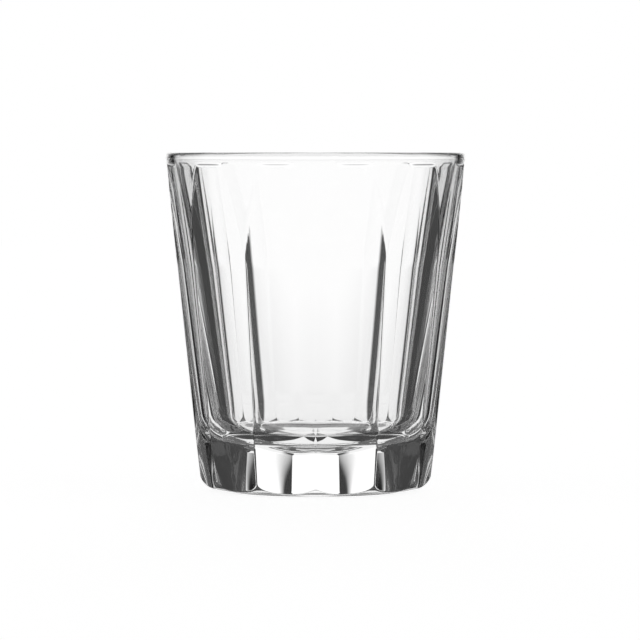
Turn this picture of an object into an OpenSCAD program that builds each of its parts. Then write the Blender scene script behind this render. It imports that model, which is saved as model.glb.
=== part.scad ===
// Juice glass: one heavy-based pressed tumbler, tapered, with a ring of arched panels under a plain rim.
// Millimetres, +Z up, origin at the middle of the foot, on the surface that the glass stands on.

/* [Body] */
// Overall height, from the foot to the top of the lip
height = 86; // [60:1:150]
// Outer diameter of the wall at the top
rim_d = 76.6; // [60:0.2:110]
// Outer diameter that the straight wall would have at the foot
heel_d = 58.4; // [40:0.2:90]
// Radius of the rounded heel between the wall and the underside
heel_r = 4.5; // [2:0.1:8]

/* [Cavity] */
// Wall thickness just under the lip
rim_wall = 2; // [1.5:0.1:4]
// Diameter of the round bead that finishes the lip
lip_d = 2.3; // [1.5:0.1:5]
// Thickness of the solid base under the cavity
base_t = 13.8; // [6:0.1:30]
// Diameter where the inner wall would meet the cavity floor
floor_d = 44.5; // [20:0.5:60]
// Radius between the inner wall and the cavity floor
floor_r = 4.5; // [1:0.5:12]

/* [Panels] */
// Number of panels around the glass
panel_count = 12; // [6:1:24]
// Height of the plain band above the panels
rim_band = 3; // [2:0.5:20]
// Depth of a panel where it meets the plain band
panel_depth_band = 0.3; // [0.2:0.05:1]
// Depth of a panel at the springing of its arch
panel_depth_spring = 1.2; // [0.8:0.05:2.5]
// Depth of a panel at the level of the foot
panel_depth_foot = 1.3; // [0.8:0.05:2.6]
// Height of the arch, from its springing up to the plain band
arch_h = 11; // [6:0.5:30]

/* [Foot] */
// Outer diameter of the ring that the glass stands on
foot_d = 46; // [30:0.5:80]
// How far the ring stands below the heel
foot_h = 0.4; // [0.2:0.1:1.5]
// Diameter of the shallow hollow in the underside
punt_d = 37; // [15:0.5:60]
// Depth of that hollow
punt_h = 1.4; // [0.5:0.1:5]

/* [Hidden] */
$fn = 96;

// Spare length by which a cutting shape runs past what it cuts
over = 5;

// Outer wall: a straight line in the radius and height plane
wall_slope = (rim_d - heel_d) / 2 / height;
wall_tilt = atan(wall_slope);
function wall_radius(z) = heel_d / 2 + wall_slope * z;

// The heel's circle touches the wall and the plane just above the foot ring
heel_z = foot_h + heel_r;
heel_x = wall_radius(heel_z) - heel_r / cos(wall_tilt);

// The lip's circle sits on the middle of the wall
lip_z = height - lip_d / 2;
lip_x = wall_radius(lip_z) - rim_wall / 2;

// Inner wall, from the lip down to the cavity floor
inner_slope = (lip_x - rim_wall / 2 - floor_d / 2) / (lip_z - base_t);
inner_tilt = atan(inner_slope);
function inner_radius(z) = floor_d / 2 + inner_slope * (z - base_t);

// The floor's circle touches the inner wall and the cavity floor
floor_z = base_t + floor_r;
floor_x = inner_radius(floor_z) - floor_r / cos(inner_tilt);

// Middle line of a panel: straight up to the springing, then an arc that runs out at the plain band
band_z = height - rim_band;
spring_z = band_z - arch_h;
panel_slope = wall_slope + (panel_depth_foot - panel_depth_spring) / spring_z;
panel_tilt = atan(panel_slope);
function panel_line(z) = wall_radius(0) - panel_depth_foot + panel_slope * z;
// The arc starts along the straight line and ends at the band with the depth set there
arc_end = [wall_radius(band_z) - panel_depth_band - panel_line(spring_z), arch_h];
arc_aside = arc_end[0] * cos(panel_tilt) - arc_end[1] * sin(panel_tilt);
arc_r = (pow(arc_end[0], 2) + pow(arc_end[1], 2)) / 2 / arc_aside;

// Sphere that leaves a hollow of the set diameter and depth in the underside
punt_sphere_r = (pow(punt_d / 2, 2) + pow(punt_h, 2)) / 2 / punt_h;

// Half section of the round blank, without its cavity
module blank_section() {
  polygon([
    [0, foot_h],
    [heel_x, foot_h],
    [heel_x, heel_z],
    [heel_x + heel_r * cos(wall_tilt), heel_z - heel_r * sin(wall_tilt)],
    [wall_radius(lip_z), lip_z],
    [0, lip_z]
  ]);
  translate([heel_x, heel_z])
    circle(heel_r);
  square([foot_d / 2, foot_h + heel_r]);
}

// Half section of the cavity
module cavity_section() {
  polygon([
    [0, base_t],
    [floor_x, base_t],
    [floor_x, floor_z],
    [floor_x + floor_r * cos(inner_tilt), floor_z - floor_r * sin(inner_tilt)],
    [inner_radius(height + over), height + over],
    [0, height + over]
  ]);
  translate([floor_x, floor_z])
    circle(floor_r);
}

// Half section of the finished round glass
module glass_section() {
  intersection() {
    translate([0, -over])
      square([rim_d, height + 2 * over]);
    union() {
      difference() {
        blank_section();
        cavity_section();
        translate([0, punt_h - punt_sphere_r])
          circle(punt_sphere_r);
      }
      translate([lip_x, lip_z])
        circle(lip_d / 2);
    }
  }
}

// What one panel takes off, in the radius and height plane
module panel_section() {
  polygon([
    [panel_line(-over), -over],
    [rim_d, -over],
    [rim_d, spring_z],
    [panel_line(spring_z), spring_z]
  ]);
  // Arc that brings the panel back out to the band
  intersection() {
    translate([0, spring_z - over])
      square([rim_d, arch_h + over]);
    translate([panel_line(spring_z) + arc_r * cos(panel_tilt), spring_z - arc_r * sin(panel_tilt)])
      circle(arc_r);
  }
}

// Cutting shape of one flat panel, on the +X side
module panel() {
  rotate([90, 0, 0])
    linear_extrude(height = rim_d / 2, center = true)
      panel_section();
}

// The ridge between two panels faces the front
module tumbler() {
  color("azure")
    difference() {
      rotate_extrude()
        glass_section();
      for (i = [0 : panel_count - 1])
        rotate((i + 0.5) * 360 / panel_count - 90)
          panel();
    }
}

tumbler();
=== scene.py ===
# %% [markdown]
# A juice glass in clear pressed glass.
# The real thing is one gob of glass, pressed in one stroke: a plunger forms the round inside, and the
# mould forms the panels outside. So the scene has one piece, and all of its looks come from its shape,
# because clear glass shows only what it bends and mirrors.

# %% Load the frame
import math

import bpy
import bmesh
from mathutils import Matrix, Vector


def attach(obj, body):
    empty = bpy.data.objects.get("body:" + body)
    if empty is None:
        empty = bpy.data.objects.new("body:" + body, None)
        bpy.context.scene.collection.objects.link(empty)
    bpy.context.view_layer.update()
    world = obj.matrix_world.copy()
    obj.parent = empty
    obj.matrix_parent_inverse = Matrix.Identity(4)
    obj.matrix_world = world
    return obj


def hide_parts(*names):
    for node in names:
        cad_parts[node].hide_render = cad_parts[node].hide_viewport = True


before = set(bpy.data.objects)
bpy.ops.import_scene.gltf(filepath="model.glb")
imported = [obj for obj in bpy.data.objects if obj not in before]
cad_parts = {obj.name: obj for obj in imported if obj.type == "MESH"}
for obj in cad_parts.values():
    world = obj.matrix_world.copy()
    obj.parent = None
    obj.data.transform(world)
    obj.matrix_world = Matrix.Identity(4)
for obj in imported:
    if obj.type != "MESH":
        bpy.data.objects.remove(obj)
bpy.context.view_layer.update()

# %% [markdown]
# The section of the glass is half of what you would see if you sawed it in two: the underside, the
# foot, the rounded heel, the wall, the lip, the inner wall and the cavity floor. A lathe would turn it
# from this line, and so does the node tree further down. Sizes are in millimetres here, as in the
# part's own source, and become metres when the points are made.

# %% Sizes of the section
MM = 0.001
HEIGHT = 86.0
# Outer wall: its radius at the top, and the radius that it would have at the foot
RIM_R = 38.3
WALL_FOOT_R = 29.2
WALL_SLOPE = (RIM_R - WALL_FOOT_R) / HEIGHT
HEEL_R = 4.5
# Ring that the glass stands on, and the shallow hollow inside it
FOOT_R = 23.0
FOOT_H = 0.4
PUNT_R = 18.5
PUNT_H = 1.4
# Lip, and the wall just under it
RIM_WALL = 2.0
LIP_R = 1.0
# Cavity: height of the edge of its floor, radius where its wall would end there, and that wall's bow
BASE_T = 12.8
FLOOR_R = 22.6
INNER_BOW = 0.2
# Radius between the inner wall and the floor, and how far the floor dips to its middle
FLOOR_ROUND = 9.0
FLOOR_DISH = 2.0


def wall_radius(z):
    """Radius of the straight outer wall at a height, before the panels are pressed in."""
    return WALL_FOOT_R + WALL_SLOPE * z


print("rim radius", round(wall_radius(HEIGHT), 2), "mm; foot radius", FOOT_R, "mm")

# %% [markdown]
# The panels are shallow hollows in the outer wall. Each one starts under the plain band of the rim,
# widens and deepens in a long arch, gets a little shallower on its way down, and ends in a scoop at the
# heel. Twelve cutters could take them away, but a cutter whose depth changes like this is hard to shape.
# Two numbers for each height say it all: how deep the hollow is, and how far it reaches towards its
# neighbour, where two hollows meet in a ridge.

# %% Depth and reach of a panel
PANELS = 12
# Part of a panel by which the ring of panels is turned, so that a ridge faces the camera
TURN = 0.5
# Heights of the plain band's lower edge, of the springing of the arch and of the scoop's upper end
BAND_Z = 83.0
SPRING_Z = 58.0
SCOOP_Z = 12.5
# Depths at the band, at the springing and at the foot, and the curve between the last two
DEPTH_BAND = 0.3
DEPTH_SPRING = 1.5
DEPTH_FOOT = 1.2
FALL_POWER = 0.9
# What the scoop adds at the foot, as a share of the depth there, and its curve
SCOOP_GAIN = 0.9
SCOOP_POWER = 1.5
# Reach of a hollow as a share of half a panel, and how round the hollow is across
REACH = 1.02
SCOOP_REACH = 1.05
HOLLOW_POWER = 0.95


def panel_at(z):
    """Depth in millimetres and reach, as a share of half a panel, at a height."""
    if z > BAND_Z:
        return 0.0, REACH
    if z > SPRING_Z:
        rise = (z - SPRING_Z) / (BAND_Z - SPRING_Z)
        depth = DEPTH_SPRING - (DEPTH_SPRING - DEPTH_BAND) * rise
        return depth, REACH * math.sqrt(depth / DEPTH_SPRING)
    fall = min((SPRING_Z - z) / SPRING_Z, 1.0)
    depth = DEPTH_SPRING + (DEPTH_FOOT - DEPTH_SPRING) * fall ** FALL_POWER
    scoop = max((SCOOP_Z - z) / SCOOP_Z, 0.0)
    return depth * (1 + SCOOP_GAIN * scoop ** SCOOP_POWER), REACH + (SCOOP_REACH - REACH) * scoop


for height in (BAND_Z, SPRING_Z, SCOOP_Z, FOOT_H):
    print("panel at z", height, "is", round(panel_at(height)[0], 2), "mm deep")

# %% [markdown]
# The points of the section are closest together where the line or a panel bends, at the heel, the lip,
# the scoops and the arches, because glass shows every flat facet there. On the straight stretches a few
# points are enough.

# %% Helpers for points on a line


def spread(start, end, count):
    """Evenly spaced numbers on the way from start to end, without the start."""
    return [start + (end - start) * i / count for i in range(1, count + 1)]


def arc(centre, radius, start, end, count):
    """Points on an arc, its ends included; angles in degrees from the outward direction, upwards."""
    points = []
    for i in range(count):
        angle = math.radians(start + (end - start) * i / (count - 1))
        points.append((centre[0] + radius * math.cos(angle), centre[1] + radius * math.sin(angle)))
    return points


# %% The underside, the foot and the heel
PUNT_STEPS = 9
FOOT_STEPS = 3
FOOT_POINTS = 4
HEEL_POINTS = 16
# Half angle of the foot's rounded edge, and the angle at which the heel's arc starts
FOOT_EDGE = 60
HEEL_START = -80

wall_tilt = math.degrees(math.atan(WALL_SLOPE))
heel_z = FOOT_H + HEEL_R
heel_x = wall_radius(heel_z) - HEEL_R / math.cos(math.radians(wall_tilt))
under = []
for i in range(PUNT_STEPS + 1):
    out = i / PUNT_STEPS
    under.append((PUNT_R * out, PUNT_H * (1 - out ** 2)))
under += [(x, 0.0) for x in spread(PUNT_R, FOOT_R, FOOT_STEPS)]
under += arc((FOOT_R, FOOT_H / 2), FOOT_H / 2, -FOOT_EDGE, FOOT_EDGE, FOOT_POINTS)
under += arc((heel_x, heel_z), HEEL_R, HEEL_START, -wall_tilt, HEEL_POINTS)
print("underside and heel:", len(under), "points, up to z", round(under[-1][1], 2), "mm")

# %% The outer wall and the lip
SCOOP_STEPS = 18
PANEL_STEPS = 24
ARCH_STEPS = 34
LIP_POINTS = 16
# The close spacing of the points starts a little above the scoop and below the springing
SCOOP_MARGIN = 1.0
ARCH_MARGIN = 4.0
# Half height of the step at the plain band, and the points above that step
STEP_HALF = 0.02
BAND_POINTS = (0.6, 1.2)
# Angles between which the lip is round
LIP_START = -20
LIP_END = 200

heights = spread(under[-1][1], SCOOP_Z + SCOOP_MARGIN, SCOOP_STEPS)
heights += spread(heights[-1], SPRING_Z - ARCH_MARGIN, PANEL_STEPS)
heights += spread(heights[-1], BAND_Z - STEP_HALF, ARCH_STEPS)
heights += [BAND_Z + above for above in (STEP_HALF, *BAND_POINTS)]
lip_z = HEIGHT - LIP_R
lip_x = wall_radius(lip_z) - RIM_WALL / 2
outer = [(wall_radius(z), z) for z in heights]
outer += arc((lip_x, lip_z), LIP_R, LIP_START, LIP_END, LIP_POINTS)
print("wall and lip:", len(outer), "points, lip at radius", round(lip_x, 2), "mm")

# %% The inner wall and the cavity floor
INNER_STEPS = 30
FILLET_POINTS = 14
DISH_STEPS = 12


def inner_radius(z):
    """Radius of the cavity at a height: a straight line with a slight bow."""
    up = (z - BASE_T) / (lip_z - BASE_T)
    span = lip_x - RIM_WALL / 2 - FLOOR_R
    return FLOOR_R + span * up + INNER_BOW * 4 * up * (1 - up)


fillet_z = BASE_T + FLOOR_ROUND
# The wall's tilt at the top of the floor's rounding, taken over one millimetre
inner_tilt = math.degrees(math.atan(inner_radius(fillet_z + 1) - inner_radius(fillet_z)))
fillet_x = inner_radius(fillet_z) - FLOOR_ROUND / math.cos(math.radians(inner_tilt))
fillet = arc((fillet_x, fillet_z), FLOOR_ROUND, -inner_tilt, -90, FILLET_POINTS)
inside = [(inner_radius(z), z) for z in spread(outer[-1][1], fillet[0][1], INNER_STEPS)[:-1]]
inside += fillet
for out in spread(1.0, 0.0, DISH_STEPS):
    inside.append((fillet_x * out, BASE_T - FLOOR_DISH * (1 - out ** 2)))
POINTS = under + outer + inside
print("section:", len(POINTS), "points; glass under the middle", round(inside[-1][1] - PUNT_H, 2), "mm")

# %% [markdown]
# The node tree needs the line and, for each point of it, the plain wall's radius there and the panel's
# depth and reach. A mesh of edges can carry all of that: the numbers become named attributes of its
# points. It is only a pattern for the tree, as a template is for a lathe, and is removed afterwards.

# %% A mesh that carries the section
section_mesh = bpy.data.meshes.new("section_line")
section_mesh.from_pydata(
    [(x * MM, 0, z * MM) for x, z in POINTS], [(i, i + 1) for i in range(len(POINTS) - 1)], []
)
carried_values = {
    "wall": [wall_radius(z) * MM for x, z in POINTS],
    "depth": [panel_at(z)[0] * MM for x, z in POINTS],
    "reach": [panel_at(z)[1] for x, z in POINTS],
}
for name, values in carried_values.items():
    section_mesh.attributes.new(name, "FLOAT", "POINT").data.foreach_set("value", values)
section = bpy.data.objects.new("section_line", section_mesh)
bpy.context.scene.collection.objects.link(section)
print("section line carries", list(carried_values))

# %% [markdown]
# Clear glass is a Principled shader with full transmission and the index of soda-lime glass. Pressed
# glass is never quite flat: the hot mould leaves a faint ripple, and washing leaves a faint haze, so a
# noise moves the surface by a few thousandths of a millimetre and the roughness by almost nothing.

# %% Helper for nodes


def add_node(tree, kind, inputs=None, **settings):
    """A node with its settings, and a number, a colour or a socket for each input that is named."""
    node = tree.nodes.new(kind)
    for name, value in settings.items():
        setattr(node, name, value)
    for name, value in (inputs or {}).items():
        if isinstance(value, bpy.types.NodeSocket):
            tree.links.new(value, node.inputs[name])
        else:
            node.inputs[name].default_value = value
    return node


# %% The glass
GLASS_INDEX = 1.52
RIPPLE = {"Scale": 90, "Detail": 1.0}
RIPPLE_STRENGTH = 0.25
RIPPLE_HEIGHT = 0.01 * MM
HAZE = {"Scale": 35, "Detail": 4.0}
HAZE_MOST = 0.012

glass = bpy.data.materials.new("clear_pressed_glass")
glass.use_nodes = True
glass_tree = glass.node_tree
shader = glass_tree.nodes["Principled BSDF"]
shader.inputs["Base Color"].default_value = (1, 1, 1, 1)
shader.inputs["IOR"].default_value = GLASS_INDEX
shader.inputs["Metallic"].default_value = 0.0
shader.inputs["Transmission Weight"].default_value = 1.0
place = add_node(glass_tree, "ShaderNodeTexCoord").outputs["Object"]
ripple = add_node(glass_tree, "ShaderNodeTexNoise", {"Vector": place, **RIPPLE}).outputs["Fac"]
bump = add_node(
    glass_tree,
    "ShaderNodeBump",
    {"Height": ripple, "Strength": RIPPLE_STRENGTH, "Distance": RIPPLE_HEIGHT},
)
glass_tree.links.new(bump.outputs["Normal"], shader.inputs["Normal"])
haze = add_node(glass_tree, "ShaderNodeTexNoise", {"Vector": place, **HAZE}).outputs["Fac"]
haze_range = add_node(glass_tree, "ShaderNodeMapRange", {"Value": haze, "To Max": HAZE_MOST})
glass_tree.links.new(haze_range.outputs["Result"], shader.inputs["Roughness"])
print("material", glass.name, "IOR", round(shader.inputs["IOR"].default_value, 2))

# %% [markdown]
# Turning the section is a rule, so a node tree does it. It starts from a plain tube whose rows are the
# points of the section and whose columns go round the glass. Each vertex looks up its row's radius and
# height, works out how far it is from the middle of its panel, and takes the smaller of the plain
# section and the hollow. Changing a number moves all the panels at once.

# %% Helpers for the tree


def math_node(tree, operation, *values):
    """The result of a Math node; each value is a number or a socket."""
    return add_node(tree, "ShaderNodeMath", dict(enumerate(values)), operation=operation).outputs[0]


def row_value(tree, source, value, index, kind):
    """The value that a row of the section carries."""
    inputs = {"Geometry": source, "Value": value, "Index": index}
    return add_node(tree, "GeometryNodeSampleIndex", inputs, data_type=kind, domain="POINT").outputs[0]


def carried(tree, name):
    """A named number that the section's points carry."""
    node = add_node(tree, "GeometryNodeInputNamedAttribute", {"Name": name}, data_type="FLOAT")
    return node.outputs["Attribute"]


# %% The tree and its inputs
tree = bpy.data.node_groups.new("pressed_tumbler", "GeometryNodeTree")
tree.interface.new_socket("Geometry", in_out="OUTPUT", socket_type="NodeSocketGeometry")
INPUTS = {
    "Section": "NodeSocketObject",
    "Rows": "NodeSocketInt",
    "Steps round": "NodeSocketInt",
    "Panels": "NodeSocketInt",
    "Turn": "NodeSocketFloat",
    "Hollow power": "NodeSocketFloat",
    "Glass": "NodeSocketMaterial",
}
SOCKET_IDS = {
    name: tree.interface.new_socket(name, in_out="INPUT", socket_type=kind).identifier
    for name, kind in INPUTS.items()
}
given = add_node(tree, "NodeGroupInput").outputs
print("tree", tree.name, "takes", list(SOCKET_IDS))

# %% The plain tube, and the row and the turn of each vertex
line = add_node(tree, "GeometryNodeObjectInfo", {"Object": given["Section"]}).outputs["Geometry"]
row_gaps = math_node(tree, "SUBTRACT", given["Rows"], 1)
tube = add_node(
    tree,
    "GeometryNodeMeshCylinder",
    {"Vertices": given["Steps round"], "Side Segments": row_gaps, "Radius": 1, "Depth": 1},
    fill_type="NONE",
)
here = add_node(tree, "GeometryNodeInputPosition").outputs[0]
apart = add_node(tree, "ShaderNodeSeparateXYZ", {0: here}).outputs
share_up = math_node(tree, "ADD", apart[2], 0.5)
row_number = math_node(tree, "MULTIPLY", share_up, row_gaps)
row = add_node(tree, "FunctionNodeFloatToInt", {0: row_number}, rounding_mode="ROUND").outputs[0]
turn = math_node(tree, "ARCTAN2", apart[0], math_node(tree, "MULTIPLY", apart[1], -1))
print("tube: rows are the section's points, columns go round; nodes so far", len(tree.nodes))

# %% The radius of each vertex
row_place = row_value(tree, line, here, row, "FLOAT_VECTOR")
at_row = add_node(tree, "ShaderNodeSeparateXYZ", {0: row_place}).outputs
wall, depth, reach = (
    row_value(tree, line, carried(tree, name), row, "FLOAT") for name in ("wall", "depth", "reach")
)
panels_round = math_node(tree, "DIVIDE", math_node(tree, "MULTIPLY", turn, given["Panels"]), math.tau)
panel_number = math_node(tree, "SUBTRACT", panels_round, given["Turn"])
nearest = math_node(tree, "ROUND", panel_number)
off_middle = math_node(tree, "ABSOLUTE", math_node(tree, "SUBTRACT", panel_number, nearest))
off_share = math_node(tree, "DIVIDE", math_node(tree, "MULTIPLY", off_middle, 2), reach)
bowl = math_node(tree, "SUBTRACT", 1, math_node(tree, "POWER", off_share, 2))
bowl = math_node(tree, "MAXIMUM", bowl, 0)
hollow = math_node(tree, "MULTIPLY", depth, math_node(tree, "POWER", bowl, given["Hollow power"]))
radius = math_node(tree, "MINIMUM", at_row[0], math_node(tree, "SUBTRACT", wall, hollow))
print("panels: the radius is the smaller of section and hollow; nodes so far", len(tree.nodes))

# %% From numbers to the finished surface
WELD = 0.001 * MM

aside = math_node(tree, "MULTIPLY", radius, math_node(tree, "SINE", turn))
front = math_node(tree, "MULTIPLY", radius, math_node(tree, "COSINE", turn))
back = math_node(tree, "MULTIPLY", front, -1)
spot = add_node(tree, "ShaderNodeCombineXYZ", {0: aside, 1: back, 2: at_row[2]}).outputs[0]
surface = tube.outputs["Mesh"]
FINISHING = (
    ("GeometryNodeSetPosition", {"Position": spot}),
    ("GeometryNodeMergeByDistance", {"Distance": WELD}),
    ("GeometryNodeSetShadeSmooth", {}),
    ("GeometryNodeRealizeInstances", {}),
    ("GeometryNodeSetMaterial", {"Material": given["Glass"]}),
)
for kind, inputs in FINISHING:
    surface = add_node(tree, kind, {"Geometry": surface, **inputs}).outputs["Geometry"]
add_node(tree, "NodeGroupOutput", {"Geometry": surface})
print("tree", tree.name, "has", len(tree.nodes), "nodes")

# %% [markdown]
# An empty object gets the tree as a modifier. Its inputs are set first, then the result is taken off as
# a plain mesh, which no longer needs the tree. The poles on the axis are welded shut by the tree, so the
# mesh has to come out closed, and the normals are turned outwards because glass bends light by them.

# %% Make the glass from the tree
STEPS_ROUND = 480

maker = bpy.data.objects.new("tumbler_maker", bpy.data.meshes.new("tumbler_maker"))
bpy.context.scene.collection.objects.link(maker)
modifier = maker.modifiers.new("Pressed tumbler", "NODES")
modifier.node_group = tree
settings = {
    "Section": section,
    "Rows": len(POINTS),
    "Steps round": STEPS_ROUND,
    "Panels": PANELS,
    "Turn": TURN,
    "Hollow power": HOLLOW_POWER,
    "Glass": glass,
}
for name, value in settings.items():
    modifier[SOCKET_IDS[name]] = value
graph = bpy.context.evaluated_depsgraph_get()
mesh = bpy.data.meshes.new_from_object(maker.evaluated_get(graph), depsgraph=graph)
mesh.name = "tumbler_glass"
tumbler = bpy.data.objects.new("tumbler_glass", mesh)
bpy.context.scene.collection.objects.link(tumbler)
maker.modifiers.remove(modifier)
bpy.data.objects.remove(maker)
bpy.data.objects.remove(section)
print("mesh", mesh.name, "has", len(mesh.vertices), "vertices")

# %% Turn the normals outwards and measure the glass
# Millilitres in a cubic metre
ML = 1e6

shape = bmesh.new()
shape.from_mesh(mesh)
bmesh.ops.recalc_face_normals(shape, faces=shape.faces)
open_edges = sum(1 for edge in shape.edges if len(edge.link_faces) != 2)
volume = round(shape.calc_volume() * ML, 1)
print("glass:", len(shape.faces), "faces,", volume, "ml of glass,", open_edges, "open edges")
shape.to_mesh(mesh)
shape.free()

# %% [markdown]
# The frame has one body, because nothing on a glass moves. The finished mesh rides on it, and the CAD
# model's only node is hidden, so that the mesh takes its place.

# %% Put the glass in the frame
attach(tumbler, "root")
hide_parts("tumbler")
print("piece", tumbler.name, "stands for the CAD node tumbler")

# %% [markdown]
# Clear glass is lit from behind: a photographer calls it bright field. A white backdrop shines through
# the middle, and a dark card on each side of it, just out of view, draws the dark lines along the
# ridges. Lamps and real cards could do that, but they would show in other views, so the world itself is
# the room here, and its grey depends only on the direction. Behind the glass it is white, then come the
# two cards, then dim walls. Down towards the floor it is pale at the sides and in front, so that the
# glass stays clear when it is seen from there. The camera itself sees plain white.

# %% Helpers for the studio


def grey(value):
    """A grey as a colour."""
    return (value, value, value, 1)


def ramp(tree, factor, stops):
    """A Color Ramp with the given places and grey values."""
    node = add_node(tree, "ShaderNodeValToRGB", {"Fac": factor})
    elements = node.color_ramp.elements
    while len(elements) < len(stops):
        elements.new(1.0)
    for element, (position, value) in zip(elements, stops):
        element.position = position
        element.color = grey(value)
    return node.outputs["Color"]


def mix(tree, factor, first, second):
    """Two colours mixed; a Mix node keeps its colours in the inputs 6 and 7 and in the output 2."""
    inputs = {"Factor": factor, 6: first, 7: second}
    return add_node(tree, "ShaderNodeMix", inputs, data_type="RGBA").outputs[2]


def map_range(tree, value, low, high):
    """From 0 at the low value to 1 at the high one."""
    inputs = {"Value": value, "From Min": low, "From Max": high}
    return add_node(tree, "ShaderNodeMapRange", inputs).outputs["Result"]


# %% The studio round the glass
# Degrees to the left and right of the middle of the backdrop
WHITE_HALF = 18
SOFT_EDGE = 2
CARD_END = 70
SIDE_START = 80
SIDE_END = 135
FRONT_START = 150
BEARINGS = (WHITE_HALF - SOFT_EDGE, WHITE_HALF + SOFT_EDGE, CARD_END, SIDE_START, SIDE_END, FRONT_START)
# Greys at those bearings, level with the glass and down towards the floor
WALL_GREYS = (1.08, 0.012, 0.012, 0.2, 0.2, 0.12)
FLOOR_GREYS = (0.93, 0.02, 0.02, 0.7, 0.7, 0.8)
CEILING = 0.12
# Heights of the direction between which the ceiling and the floor begin
CEILING_EDGE = (0.3, 0.5)
FLOOR_EDGE = (-0.12, -0.16)

scene = bpy.context.scene
studio = bpy.data.worlds.new("bright_field_studio")
scene.world = studio
studio.use_nodes = True
room_tree = studio.node_tree
room_tree.nodes.clear()
direction = add_node(room_tree, "ShaderNodeTexCoord").outputs["Generated"]
parts = add_node(room_tree, "ShaderNodeSeparateXYZ", {0: direction}).outputs
bearing = math_node(room_tree, "ABSOLUTE", math_node(room_tree, "ARCTAN2", parts[0], parts[1]))
half_turns = math_node(room_tree, "DIVIDE", bearing, math.pi)
places = [degrees / 180 for degrees in BEARINGS]
walls = ramp(room_tree, half_turns, list(zip(places, WALL_GREYS)))
floor_glow = ramp(room_tree, half_turns, list(zip(places, FLOOR_GREYS)))
room = mix(room_tree, map_range(room_tree, parts[2], *CEILING_EDGE), walls, grey(CEILING))
room = mix(room_tree, map_range(room_tree, parts[2], *FLOOR_EDGE), room, floor_glow)
camera_ray = add_node(room_tree, "ShaderNodeLightPath").outputs["Is Camera Ray"]
seen = mix(room_tree, camera_ray, room, grey(1.0))
background = add_node(room_tree, "ShaderNodeBackground", {"Color": seen}).outputs[0]
add_node(room_tree, "ShaderNodeOutputWorld", {"Surface": background})
print("studio: white within", WHITE_HALF, "degrees of the middle")

# %% [markdown]
# The floor is a large sheet of white paper. It glows by itself a little less than white, and the light
# that falls on it makes up the rest, so it runs into the backdrop without an edge and still keeps the
# faint shadow of the glass. The glass looks through it at the room, which has its own pale floor.

# %% The floor
FLOOR_HALF = 3.0
FLOOR_DROP = 0.2 * MM
PAPER = 0.9
GLOW = 0.88

floor_mesh = bpy.data.meshes.new("studio_floor")
corners = [(-1, -1), (1, -1), (1, 1), (-1, 1)]
floor_mesh.from_pydata(
    [(x * FLOOR_HALF, y * FLOOR_HALF, -FLOOR_DROP) for x, y in corners], [], [(0, 1, 2, 3)]
)
floor = bpy.data.objects.new("studio_floor", floor_mesh)
scene.collection.objects.link(floor)
paper = bpy.data.materials.new("white_paper")
paper.use_nodes = True
paper_tree = paper.node_tree
paper_tree.nodes.clear()
matte = add_node(paper_tree, "ShaderNodeBsdfDiffuse", {"Color": grey(PAPER)}).outputs[0]
glow = add_node(paper_tree, "ShaderNodeEmission", {"Strength": GLOW}).outputs[0]
both = add_node(paper_tree, "ShaderNodeAddShader", {0: matte, 1: glow}).outputs[0]
add_node(paper_tree, "ShaderNodeOutputMaterial", {"Surface": both})
floor_mesh.materials.append(paper)
floor.visible_transmission = False
floor.visible_glossy = False
floor.visible_diffuse = False
print("floor", floor.name, "is stage")

# %% [markdown]
# The camera stands a little over a metre away, level with the rim, as for a catalogue picture. The rim's
# width in the picture sets the lens, and the places of the rim and of the axis set where it points.

# %% The camera
# Pixels: side of the picture, half width of the rim, column of the axis and row of the rim
IMAGE = 640
RIM_PIXELS = 150.3
AXIS_PIXEL = 315.6
RIM_ROW = 152.5
# Metres, and the sensor's width in millimetres
DISTANCE = 1.1
CLIP_START = 0.01
SENSOR = 36
# A ray crosses four surfaces on its way through both walls, and is mirrored many times in the base
BOUNCES = 24

camera = bpy.data.objects.new("camera", bpy.data.cameras.new("camera"))
scene.collection.objects.link(camera)
scene.camera = camera
focal_pixels = RIM_PIXELS / (wall_radius(HEIGHT) * MM) * DISTANCE
camera.data.sensor_width = SENSOR
camera.data.lens = focal_pixels * SENSOR / IMAGE
camera.data.clip_start = CLIP_START
camera.location = (0, -DISTANCE, HEIGHT * MM)
pitch = math.atan((IMAGE / 2 - RIM_ROW) / focal_pixels)
yaw = math.atan((IMAGE / 2 - AXIS_PIXEL) / focal_pixels)
aim = Vector((math.sin(yaw) * math.cos(pitch), math.cos(yaw) * math.cos(pitch), -math.sin(pitch)))
camera.rotation_mode = "QUATERNION"
camera.rotation_quaternion = aim.to_track_quat("-Z", "Y")
scene.view_settings.view_transform = "Standard"
scene.cycles.max_bounces = BOUNCES
scene.cycles.transmission_bounces = BOUNCES
scene.cycles.glossy_bounces = BOUNCES
print("lens", round(camera.data.lens, 1), "mm")
